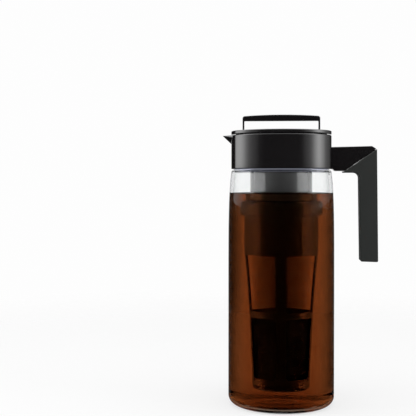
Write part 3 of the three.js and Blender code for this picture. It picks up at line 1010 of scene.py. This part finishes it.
@dataclass
class Collar(Assembly):
    """The pouring collar: its ring, beak and the arm that the grip hangs from."""

    grip: Grip
    radius: float = 54.1
    bore: float = 49.8
    foot: float = 253.7
    top: float = 290.0
    lip: float = 47.7
    lip_foot: float = 278.2
    thread_depth: float = 1.0
    thread_rise: float = 2.0
    rebate: float = 49.7
    rebate_foot: float = 286.5
    edge: float = 0.9
    beak_reach: float = 9.2
    beak_half: float = 15.0
    beak_tip: float = 2.4
    beak_drop: float = 9.0
    beak_wall: float = 1.7
    beak_root: float = 51.95
    beak_channel: float = 48.7
    beak_round: float = 1.2
    snap_depth: float = 1.1
    snap_foot: float = 264.6
    snap_head: float = 268.6
    snap_top: float = 270.6
    arm_width: float = 21.6
    arm_foot: float = 251.6
    arm_top: float = 277.2
    arm_rise: float = 1.0
    arm_heel: float = 0.6
    arm_end: float = 101.6
    arm_gap: float = 0.6
    arm_slope: float = 5.3
    arm_round: float = 0.6
    slant_start: float = 67.6
    slant_top: float = 275.3
    core_width: float = 18.4
    core_inset: float = 2.1
    core_round: float = 2.0
    core_drop: float = 0.8
    body: Body = Body.PITCHER

    def ring(self) -> Object:
        """The ring, with its lip, lid rebate and snap groove."""
        outline = [
            (self.bore, self.foot, 0.3),
            (self.radius, self.foot, self.edge),
            (self.radius, self.top, self.edge),
            (self.rebate, self.top, 0.4),
            (self.rebate, self.rebate_foot),
            (self.lip, self.rebate_foot, 0.4),
            (self.lip, self.lip_foot, 0.4),
            (self.bore, self.lip_foot),
            (self.bore, self.snap_top),
            (self.bore + self.snap_depth, self.snap_head),
            (self.bore + self.snap_depth, self.snap_foot),
            (self.bore, self.snap_foot),
        ]
        return Bench.turned("collar_body", outline, turns=160)

    def beak(self, wall: float, root: float, above: float) -> Object:
        """The beak's body, or its channel.

        Args:
            wall: how far the channel lies inside the body's faces; 0 for the body.
            root: how far from the axis it starts.
            above: how far it is carried on above the collar.

        Returns:
            The solid.
        """
        inset = wall * math.sqrt(2)
        reach = self.radius + self.beak_reach - inset
        half = self.beak_half - inset
        keel = self.top - self.beak_drop + inset
        tip = self.beak_tip - wall / 2
        points: list[Vector] = []
        for side in Side:
            y = side.value
            for high in (self.top - 0.3, self.top + above):
                points.append(Vector((-reach, y * tip / 2, high)))
                points.append(Vector((-reach + tip, y * tip, high)))
            points.append(Vector((-root, y * half, self.top - self.beak_tip)))
            points.append(Vector((-root, y * half, self.top + above)))
            points.append(Vector((-root, y * tip, keel)))
            points.append(Vector((-self.radius, y * tip / 2, keel)))
        return Bench.hull("beak", points)

    def arm(self) -> Object:
        """The arm over the shoulder, out to the slanting edge that it shares with the grip."""
        root, heel = self.beak_root, self.radius + self.arm_heel
        outline = [
            (root, self.foot),
            (heel, self.foot, self.arm_round),
            (heel + self.foot - self.arm_foot, self.arm_foot, self.arm_round),
            (self.slant_start, self.arm_foot),
            (self.arm_end - self.arm_gap, self.slant_top),
            (self.arm_end - self.arm_slope, self.arm_top + self.arm_rise, 1.4),
            (root, self.arm_top),
        ]
        half = self.arm_width / 2
        return Bench.soften(Bench.plate("arm", outline, -half, half), self.arm_round)

    def core(self) -> Object:
        """The arm's core, which carries on down inside the grip."""
        grip, inset = self.grip, self.core_inset
        under = self.arm_foot - grip.tongue + inset
        outline = [
            (self.slant_start, under),
            (grip.inner + inset, under, grip.crook),
            (grip.inner + grip.lean + inset, grip.foot + grip.foot_rise + inset, self.core_round),
            (grip.outer + grip.lean - inset, grip.foot + inset, self.core_round),
            (grip.outer - inset, self.slant_top - self.core_drop),
            (self.slant_start + 5, self.arm_foot + 3),
        ]
        half = self.core_width / 2
        return Bench.plate("core", outline, -half, half)

    def build(self) -> None:
        """Builds the collar in one piece."""
        collar = self.ring()
        thread = Bench.thread(self.lip, self.lip - self.thread_depth, self.lip_foot + self.thread_rise)
        beak = Bench.soften(self.beak(wall=0, root=self.beak_root, above=0), self.beak_round)
        Bench.combine(collar, Fit.JOIN, thread, beak)
        Bench.combine(collar, Fit.CUT, self.beak(self.beak_wall, self.beak_channel, above=2.0))
        Bench.combine(collar, Fit.JOIN, self.arm(), self.core())
        self.settle(collar, MouldedPlastic(name="collar_moulding", outside=True), ["collar"])
        collar.visible_glossy = False


@dataclass
class Lid(Assembly):
    """The lid: its cover disc, plug with the long stem, seal and folding bail."""

    rim: float = 54.1
    rim_foot: float = 290.7
    rim_top: float = 294.7
    cup: float = 49.4
    cup_foot: float = 287.2
    well: float = 47.8
    well_floor: float = 289.0
    land: float = 42.2
    cover_edge: float = 0.35
    skirt: float = 45.4
    skirt_wall: float = 2.8
    skirt_foot: float = 262.9
    plate_foot: float = 284.8
    plate_top: float = 286.9
    slot_half: float = 10.0
    slot_near: float = 40.0
    slot_far: float = 48.0
    slot_height: float = 5.6
    seal_foot: float = 266.9
    seal_height: float = 2.6
    seal_radius: float = 46.3
    seal_groove: float = 2.0
    seal_crown: float = 0.3
    fit: float = 0.3
    stem: float = 33.45
    stem_wall: float = 2.0
    stem_step: float = 229.0
    stem_foot: float = 206.0
    plug_radius: float = 29.2
    plug_wall: float = 3.0
    thread_root: float = 28.2
    thread_foot: float = 278.2
    thread_depth: float = 1.0
    thread_rise: float = 2.0
    ring_top: float = 219.2
    axis: float = 291.7
    bail_reach: float = 41.9
    bail_height: float = 21.0
    bail_crown: float = 1.6
    bail_bar: float = 5.4
    bail_leg: float = 2.0
    bail_thickness: float = 4.8
    bail_edge: float = 0.7
    axle: float = 1.5
    axle_length: float = 3.0
    body: Body = Body.LID

    CROWN = ((0.75, 0.55), (0.5, 0.25), (0.25, 0.06))

    def cover(self) -> Object:
        """The disc that overhangs the collar, with a well under the bail."""
        outline = [
            (0, self.cup_foot),
            (self.cup, self.cup_foot, 0.4),
            (self.cup, self.rim_foot),
            (self.rim, self.rim_foot, 0.9),
            (self.rim, self.rim_top, 0.9),
            (0, self.rim_top),
        ]
        disc = Bench.turned("lid_cover_disc", outline, turns=160)
        floor, above = self.well_floor, self.rim_top + 2
        well = Bench.turned("well", [(0, floor), (self.well, floor, 0.9), (self.well, above), (0, above)])
        strip = Bench.block("strip", (-self.land, -self.rim, floor - 2), (self.land, self.rim, above + 2))
        Bench.combine(well, Fit.KEEP_SHARED, strip)
        reach = self.bail_reach + self.axle_length + self.fit
        bore = Bench.bar("bore", self.axle + self.fit, -reach, reach, self.axis)
        Bench.combine(disc, Fit.CUT, well, bore)
        return Bench.soften(disc, self.cover_edge, segments=2, above=40)

    def plug(self) -> Object:
        """The plug: skirt with pour slots, seal groove, and the stem that holds the strainer."""
        bore, inner = self.stem - self.stem_wall, self.plug_radius - self.plug_wall
        groove, hollow = self.skirt - self.seal_groove, self.skirt - self.skirt_wall
        low, high = self.seal_foot - self.fit, self.seal_foot + self.seal_height + self.fit
        outline = [
            (0, self.plate_foot),
            (bore, self.plate_foot, 1.0),
            (bore, self.stem_step + self.stem_wall),
            (inner, self.stem_step),
            (inner, self.stem_foot, 0.4),
            (self.thread_root, self.stem_foot, 0.4),
            (self.thread_root, self.ring_top),
            (self.plug_radius, self.ring_top + 1),
            (self.plug_radius, self.stem_step - self.fit),
            (self.stem, self.stem_step, 0.5),
            (self.stem, self.plate_foot),
            (hollow, self.plate_foot),
            (hollow, self.skirt_foot, 0.5),
            (self.skirt, self.skirt_foot, 0.9),
            (self.skirt, low),
            (groove, low),
            (groove, high),
            (self.skirt, high),
            (self.skirt, self.plate_top),
            (0, self.plate_top),
        ]
        plug = Bench.turned("lid_plug_body", outline)
        upper = Bench.thread(self.skirt, self.skirt + self.thread_depth, self.thread_foot)
        lower = Bench.thread(self.thread_root, self.plug_radius, self.stem_foot + self.thread_rise)
        Bench.combine(plug, Fit.JOIN, upper, lower)
        half, head = self.slot_half, self.plate_foot
        for side in Side:
            near, far = sorted((side.value * self.slot_near, side.value * self.slot_far))
            slot = Bench.block("slot", (-half, near, head - self.slot_height), (half, far, head))
            Bench.combine(plug, Fit.CUT, slot)
        return plug

    def seal(self) -> Object:
        """The ring that closes the pitcher's neck."""
        inner, outer = self.skirt + self.fit - self.seal_groove, self.seal_radius
        low, high = self.seal_foot, self.seal_foot + self.seal_height
        outline = [
            (inner, low, 0.8),
            (outer - self.seal_crown, low),
            (outer, (low + high) / 2, 0.8),
            (outer - self.seal_crown, high),
            (inner, high, 0.8),
        ]
        return Bench.turned("lid_seal_ring", outline)

    def bail(self) -> Object:
        """The folding handle: a crowned bar on two thin legs, with its axles."""
        reach, leg, top = self.bail_reach, self.bail_leg, self.axis + self.bail_height
        under = top - self.bail_crown - self.bail_bar
        crown = [(reach * share, top - self.bail_crown * drop) for share, drop in self.CROWN]
        outline = [
            (-reach, self.axis),
            (-reach + leg, self.axis),
            (-reach + leg, under, 0.7),
            (reach - leg, under, 0.7),
            (reach - leg, self.axis),
            (reach, self.axis),
            (reach, top - self.bail_crown, 2.6),
            *crown,
            (0, top),
            *((-across, up) for across, up in reversed(crown)),
            (-reach, top - self.bail_crown, 2.6),
        ]
        half = self.bail_thickness / 2
        hoop = Bench.soften(Bench.plate("bail_hoop", outline, -half, half), self.bail_edge)
        for side in Side:
            for radius, extra in ((half, 0.0), (self.axle, self.axle_length)):
                near, far = sorted((side.value * (reach - leg), side.value * (reach + extra)))
                Bench.combine(hoop, Fit.JOIN, Bench.bar("axle", radius, near, far, self.axis))
        return hoop

    def build(self) -> None:
        """Builds the four pieces of the lid."""
        black = MouldedPlastic()
        stem = MouldedPlastic(name="stem_moulding", colour=(0.034, 0.033, 0.033), ior=1.5)
        self.settle(self.cover(), black, ["lid_cover"])
        self.settle(self.plug(), stem, ["lid_plug"])
        self.settle(self.seal(), Silicone(), ["lid_seal"], Body.SEAL_RING)
        self.settle(self.bail(), black, ["bail"], Body.BAIL)


@dataclass
class Strainer(Assembly):
    """The long strainer: frame, eight woven panels, cap, and the ground coffee inside."""

    ring: float = 33.75
    ring_foot: float = 203.3
    ring_top: float = 219.2
    ring_round: float = 3.0
    socket: float = 30.5
    socket_floor: float = 205.7
    thread_depth: float = 1.0
    thread_rise: float = 4.3
    radius: float = 30.15
    wall: float = 1.8
    foot: float = 18.0
    height: float = 201.2
    rib: float = 9.4
    window_corner: float = 2.5
    frame_edge: float = 0.25
    cutter_reach: float = 40.0
    panel_depth: float = 0.5
    panel: float = 0.7
    fit: float = 0.3
    cap_top: float = 22.7
    cap_round: float = 3.5
    cap_floor: float = 2.0
    spigot_height: float = 3.3
    spigot_wall: float = 1.6
    grounds_foot: float = 26.7
    grounds_top: float = 101.0
    grounds_gap: float = 0.25
    grounds_rise: float = 3.5
    body: Body = Body.STRAINER

    # The outer radius, in rows of (share of the height, share of the largest radius).
    TAPER = (
        (0.0, 0.766), (0.11, 0.776), (0.323, 0.832), (0.483, 0.882), (0.642, 0.949), (0.731, 1.0), (1.0, 1.0)
    )
    # The foot and head of each tier's windows, as shares of the height.
    TIERS = {Tier.LOWER: (0.0636, 0.384), Tier.UPPER: (0.417, 0.7147)}
    # Where the heap of grounds has its corners, as shares of its radius.
    HEAP = (0.86, 0.7, 0.5, 0.3, 0.12)

    def radius_at(self, height: float) -> float:
        """The strainer's outer radius at a height."""
        share = min(max((height - self.foot) / self.height, 0.0), 1.0)
        for (low, small), (high, large) in zip(self.TAPER, self.TAPER[1:]):
            if share <= high:
                return self.radius * (small + (large - small) * (share - low) / (high - low))
        return self.radius

    def wall_line(self, low: float, high: float, depth: float) -> list[Corner]:
        """Points up the wall from one height to another, at a depth behind its outer face."""
        bends = [self.foot + self.height * share for share, _ in self.TAPER]
        heights = [low, *(z for z in bends if low < z < high), high]
        return [(self.radius_at(z) - depth, z) for z in heights]

    def ends(self, tier: Tier) -> list[float]:
        """The heights of the foot and head of a tier's windows."""
        return [self.foot + self.height * share for share in self.TIERS[tier]]

    def window(self, tier: Tier, inset: float) -> Object:
        """The cutter of the window between the ribs at 0 and 90 degrees, drawn in by an inset."""
        foot, head = self.ends(tier)
        foot, head, corner = foot + inset, head - inset, self.window_corner - inset

        def half(z: float) -> float:
            """Half the window's width at a height."""
            radius = self.radius_at(z)
            return radius * math.sin(math.pi / 4 - math.asin(self.rib / 2 / radius)) - inset

        corners = ((-half(foot), foot), (half(foot), foot), (half(head), head), (-half(head), head))
        cutter = Bench.plate("window", [(*point, corner) for point in corners], -self.cutter_reach, 0)
        Bench.turn(cutter, -3 * math.pi / 4)
        return cutter

    def frame(self) -> Object:
        """The ring, ribs and bands, cut from one turned shell."""
        bore = self.radius - self.wall
        outer = self.wall_line(self.cap_top + self.fit, self.ring_foot, 0)
        inner = self.wall_line(self.cap_top + self.fit, self.ring_foot, self.wall)
        outline = [
            *outer,
            (self.ring, self.ring_foot, self.ring_round),
            (self.ring, self.ring_top, self.ring_round),
            (self.socket, self.ring_top, 0.3),
            (self.socket, self.socket_floor),
            (bore, self.socket_floor),
            *reversed(inner),
        ]
        frame = Bench.turned("strainer_frame_body", outline, turns=120)
        crest, start = self.socket - self.thread_depth, self.socket_floor + self.thread_rise
        Bench.combine(frame, Fit.JOIN, Bench.thread(self.socket, crest, start))
        for tier in Tier:
            first = self.window(tier, 0)
            others = [Bench.copy(first, "cut", quarter * math.pi / 2) for quarter in (3, 2, 1)]
            Bench.combine(frame, Fit.CUT, *others, first)
        return Bench.soften(frame, self.frame_edge, segments=2, above=40)

    def panels(self, tier: Tier) -> list[Object]:
        """The four woven panels of a tier: one is cut, the others are turned copies."""
        outer = self.wall_line(*self.ends(tier), self.panel_depth)
        inner = self.wall_line(*self.ends(tier), self.panel_depth + self.panel)
        name = f"{tier.value}_mesh_panel_"
        first = Bench.turned(f"{name}1", [*outer, *reversed(inner)], turns=120)
        Bench.combine(first, Fit.KEEP_SHARED, self.window(tier, self.fit))
        return [first, *(Bench.copy(first, f"{name}{q + 1}", q * math.pi / 2) for q in (1, 2, 3))]

    def cap(self) -> Object:
        """The rounded foot of the strainer, with the spigot that holds it in the frame."""
        radius = self.radius_at(self.cap_top)
        spigot, spigot_top = radius - self.wall - self.fit, self.cap_top + self.spigot_height
        outline = [
            (0, self.foot),
            (radius, self.foot, self.cap_round),
            (radius, self.cap_top, 0.3),
            (spigot, self.cap_top),
            (spigot, spigot_top, 0.3),
            (spigot - self.spigot_wall, spigot_top, 0.3),
            (spigot - self.spigot_wall, self.foot + self.cap_floor),
            (0, self.foot + self.cap_floor),
        ]
        return Bench.turned("strainer_foot_cap", outline, turns=120)

    def grounds(self) -> Object:
        """The ground coffee, heaped in the lower part of the strainer."""
        low, high, rise = self.grounds_foot, self.grounds_top, self.grounds_rise
        radius = self.radius_at(high)
        wall = self.wall_line(low, high, self.wall + self.grounds_gap)
        heap = [(radius * share, high + rise * (1 - share**2)) for share in self.HEAP]
        mass = Bench.turned("coffee_grounds_heap", [(0, low), *wall, *heap, (0, high + rise)], turns=72)
        Bench.edit(mass)
        bpy.ops.mesh.select_all(action="DESELECT")
        bpy.ops.object.mode_set(mode="OBJECT")
        crest = (high - 0.5) * MM
        for vertex in mass.data.vertices:
            vertex.select = vertex.co.z > crest and vertex.co.to_2d().length < 0.9 * radius * MM
        bpy.ops.object.mode_set(mode="EDIT")
        bpy.ops.transform.vertex_random(offset=0.7 * MM, uniform=0.2, normal=0.6, seed=7)
        bpy.ops.object.mode_set(mode="OBJECT")
        return mass

    def build(self) -> None:
        """Builds the strainer and fills it."""
        dark = MouldedPlastic(
            name="strainer_moulding",
            slot="strainer_plastic",
            colour=(0.003, 0.0027, 0.0025),
            roughness=0.14,
            spread=0.04,
            ior=1.5,
            tint=(0.75, 0.5, 0.35),
        )
        self.settle(self.frame(), dark, ["strainer_frame"])
        for tier in Tier:
            for number, panel in enumerate(self.panels(tier), 1):
                self.settle(panel, WovenMesh(), [f"{tier.value}_mesh_{number}"])
        self.settle(self.cap(), dark, ["strainer_cap"])
        self.settle(self.grounds(), CoffeeGrounds(), smooth=50)


# Studio


@dataclass
class Studio:
    """The pale studio: camera, floor, soft lamps and the room that gloss reflects.

    Behind the object stands a white backdrop. Tall soft lights stand at both sides, and the room in front,
    where the camera is, is dark. Clear and see-through pieces show the backdrop as the camera does.

    Heights in the room are the Z of a direction, and lengths are metres.
    """

    camera_distance: float = 1.0
    camera_height: float = 0.242
    yaw: float = 4.55
    pitch: float = 0.81
    lens_shift: float = -0.036
    lens: float = 79.6
    sensor: float = 36.0
    white: float = 0.985
    ambient: float = 0.62
    aim: float = 0.15
    floor_radius: float = 1.1
    floor_rim: Span = (0.35, 0.95)
    floor_white: float = 0.72
    # Painted shadow: the radii in metres over which the floor's white comes back round the pitcher's foot.
    floor_contact_shadow: Span = (0.03, 0.055)
    horizon: Span = (0.004, 0.013)
    ceiling: Span = (0.35, 0.6)
    overhead: float = 1.2
    dry_foot: Span = (-0.019, -0.015)
    dry_head: Span = (0.1, 0.06)
    wall_crossings: float = 3.0
    drink_crossings: float = 4.5

    # Each lamp's name, place, size and power.
    LAMPS = (
        ("overhead_lamp", (0.0, -0.25, 1.5), (1.4, 1.4), 9.0),
        ("left_lamp", (-1.2, -0.35, 0.5), (0.8, 1.0), 5.0),
        ("right_lamp", (1.2, -0.35, 0.5), (0.8, 1.0), 5.0),
    )
    # The rooms below are rows of (angle, brightness): the angle runs round Z from the camera, left negative,
    # and no brightness is above TOP.
    TOP = 8.0
    # The room that gloss reflects in the open.
    ROOM = (
        (-180, 0.0), (-133, 0.0), (-127, 1.43), (-118, 1.88), (-110, 2.17), (-102, 2.12), (-94, 1.67),
        (-86, 1.0), (-78, 0.57), (-70, 0.37), (-60, 0.21), (-50, 0.05), (-40, 0.0), (40, 0.0), (48, 0.05),
        (56, 0.21), (66, 0.43), (72, 0.69), (78, 1.23), (84, 1.85), (92, 2.49), (98, 2.4), (105, 1.76),
        (113, 1.12), (121, 0.52), (132, 0.28), (145, 0.12), (156, 0.0), (180, 0.0),
    )
    # The backdrop as a clear wall mirrors it where it is seen edge on, and as it runs round inside the wall.
    BEHIND = ((-180, 0.9), (-158, 0.0), (158, 0.0), (180, 0.9))
    WITHIN = ((-180, 0.95), (-142, 0.95), (-135, 0.0), (135, 0.0), (142, 0.95), (180, 0.95))
    # The room that gloss reflects behind the clear wall, over the drink and in it.
    ROOM_INSIDE = (
        (-180, 0.9), (-160, 1.0), (-130, 2.4), (-110, 4.2), (-90, 5.4), (-63, 5.5), (-60, 1.5), (-30, 0.8),
        (0, 0.55), (30, 0.85), (60, 1.6), (63, 5.8), (90, 5.8), (110, 4.0), (130, 2.2), (160, 1.0),
        (180, 0.9),
    )
    ROOM_SUBMERGED = (
        (-180, 0.9), (-160, 1.0), (-130, 2.4), (-110, 4.0), (-84, 5.0), (-78, 1.0), (-40, 0.3), (0, 0.2),
        (40, 0.3), (78, 1.0), (84, 4.6), (110, 4.0), (130, 2.2), (160, 1.0), (180, 0.9),
    )
    # How much of the backdrop's white is left for light that a clear piece bends towards one side.
    THROUGH = (
        (-180, 1.0), (-130, 1.0), (-120, 0.8), (120, 0.49), (137, 0.47), (146, 0.59), (152, 0.68), (157, 1.0),
        (180, 1.0),
    )

    def set_camera(self) -> None:
        """Stands the camera where the photograph was taken from."""
        bpy.ops.object.camera_add(
            location=(0, -self.camera_distance, self.camera_height),
            rotation=(math.radians(90 - self.pitch), 0, math.radians(self.yaw)),
        )
        camera = bpy.context.object
        camera.name = "photo_camera"
        camera.data.lens = self.lens
        camera.data.sensor_width = self.sensor
        camera.data.shift_y = self.lens_shift
        camera.data.clip_start = 0.01
        bpy.context.scene.camera = camera

    def hang_lamps(self) -> None:
        """Hangs soft lamps that are aimed at the object and seen only by what they light."""
        for name, place, size, power in self.LAMPS:
            Bench.clear()
            turn = (Vector((0, 0, self.aim)) - Vector(place)).to_track_quat("-Z", "Y").to_euler()
            bpy.ops.object.light_add(type="AREA", location=place, rotation=turn)
            lamp = bpy.context.object
            lamp.name = name
            lamp.data.shape = "RECTANGLE"
            lamp.data.size, lamp.data.size_y = size
            lamp.data.energy = power
            lamp.visible_camera = lamp.visible_transmission = lamp.visible_glossy = False

    def lay_floor(self) -> None:
        """Lays the pale floor: white to the camera, with the object's shadow, a painted shadow under the
        pitcher where the white gives way, and faded out at its rim.
        """
        Bench.clear()
        bpy.ops.mesh.primitive_circle_add(vertices=96, radius=self.floor_radius, fill_type="NGON")
        floor = bpy.context.object
        floor.name = "pale_floor"
        material = bpy.data.materials.new("pale_floor")
        material.use_nodes = True
        net = Wiring(material.node_tree)
        nodes = net.tree.nodes
        matt = nodes["Principled BSDF"]
        net.feed(matt, Base_Color=(0.9, 0.9, 0.9), Roughness=1.0, Specular_IOR_Level=0.0)
        glow = net.add("ShaderNodeEmission", Strength=self.white)
        clear = nodes.new("ShaderNodeBsdfTransparent")
        path = net.path()
        away = nodes.new("ShaderNodeVectorMath")
        away.operation = "LENGTH"
        radius = net.feed(away, Vector=net.place()).outputs["Value"]
        share = net.math("MULTIPLY", self.seen(net, path), self.floor_white)
        # Painted shadow: under the pitcher the white gives way, so only the floor's lit shade shows.
        share = net.math("MULTIPLY", share, net.ease(radius, *self.floor_contact_shadow))
        whitened = net.overlay(share, matt.outputs["BSDF"], glow.outputs["Emission"])
        rim = net.ease(radius, *(self.floor_radius * part for part in self.floor_rim))
        gone = net.math("MAXIMUM", rim, self.mirrored(net, path))
        net.feed(nodes["Material Output"], Surface=net.overlay(gone, whitened, clear.outputs["BSDF"]))
        floor.data.materials.append(material)

    @staticmethod
    def seen(net: Wiring, path: Sockets) -> NodeSocket:
        """1 for what the camera sees, directly or through clear pieces."""
        return net.math("MAXIMUM", path["Is Camera Ray"], path["Is Transmission Ray"])

    @staticmethod
    def mirrored(net: Wiring, path: Sockets) -> NodeSocket:
        """1 for light that a glossy surface mirrors, and 0 for all other light."""
        glossy = net.math("MINIMUM", path["Glossy Depth"], 1.0)
        matt = net.math("MINIMUM", path["Diffuse Depth"], 1.0)
        return net.math("MAXIMUM", net.math("SUBTRACT", glossy, matt), 0.0)

    def fill_backdrop(self) -> None:
        """Fills the world: white to the camera and through clear pieces, a room of soft lights to gloss."""
        world = bpy.data.worlds.new("pale_studio")
        bpy.context.scene.world = world
        world.use_nodes = True
        net = Wiring(world.node_tree)
        path = net.path()
        ahead = net.axes(net.tree.nodes.new("ShaderNodeTexCoord").outputs["Generated"])
        angle = net.math("ARCTAN2", ahead["X"], net.math("MULTIPLY", ahead["Y"], -1.0))
        round_z = net.math("ADD", net.math("MULTIPLY", angle, 1 / math.tau), 0.5)

        def room(stops: Sequence[Span]) -> NodeSocket:
            """A room's brightness round Z."""
            shades = [((turn + 180) / 360, (value / self.TOP,) * 3) for turn, value in stops]
            return net.math("MULTIPLY", net.ramp(round_z, shades), self.TOP)

        def level(span: Span) -> NodeSocket:
            """0 at one height in the room and 1 at another."""
            return net.ease(ahead["Z"], *span)

        walls = net.math("MULTIPLY", room(self.ROOM), level(self.horizon))
        above = net.math("MULTIPLY", level(self.ceiling), self.overhead)
        outside = net.math("ADD", net.math("ADD", walls, above), room(self.BEHIND))
        depth = path["Transmission Depth"]
        outside = net.mix(net.math("MINIMUM", depth, 1.0), outside, room(self.WITHIN))
        dry = net.math("MULTIPLY", room(self.ROOM_INSIDE), level(self.dry_foot))
        dry = net.math("MULTIPLY", dry, level(self.dry_head))
        submerged = net.math("GREATER_THAN", depth, self.drink_crossings)
        inside = net.mix(submerged, dry, room(self.ROOM_SUBMERGED))
        entered = net.math("SUBTRACT", depth, self.wall_crossings)
        entered = net.math("MAXIMUM", net.math("MINIMUM", entered, 1.0), 0.0)
        gloss = net.mix(entered, outside, inside)
        bent = net.mix(path["Is Transmission Ray"], 1.0, room(self.THROUGH))
        white = net.math("MULTIPLY", bent, self.white)
        plain = net.mix(self.seen(net, path), self.ambient, white)
        strength = net.mix(self.mirrored(net, path), plain, gloss)
        net.feed(net.tree.nodes["Background"], Color=(1.0, 1.0, 1.0), Strength=strength)

    def build(self) -> None:
        """Sets up the studio and the plain view transform."""
        self.set_camera()
        self.hang_lamps()
        self.lay_floor()
        self.fill_backdrop()
        bpy.context.scene.view_settings.view_transform = "Standard"


# Making the model


def main() -> None:
    """Builds the studio and every sub-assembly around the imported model."""
    logging.basicConfig(level=logging.INFO, format="%(name)s: %(message)s")
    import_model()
    Studio().build()
    pitcher, grip = Pitcher(), Grip()
    for assembly in (pitcher, Coffee(pitcher), Collar(grip), grip, Lid(), Strainer()):
        assembly.build()
        log.info("%s is built", type(assembly).__name__)
    Bench.clear()


if __name__ == "__main__":
    main()
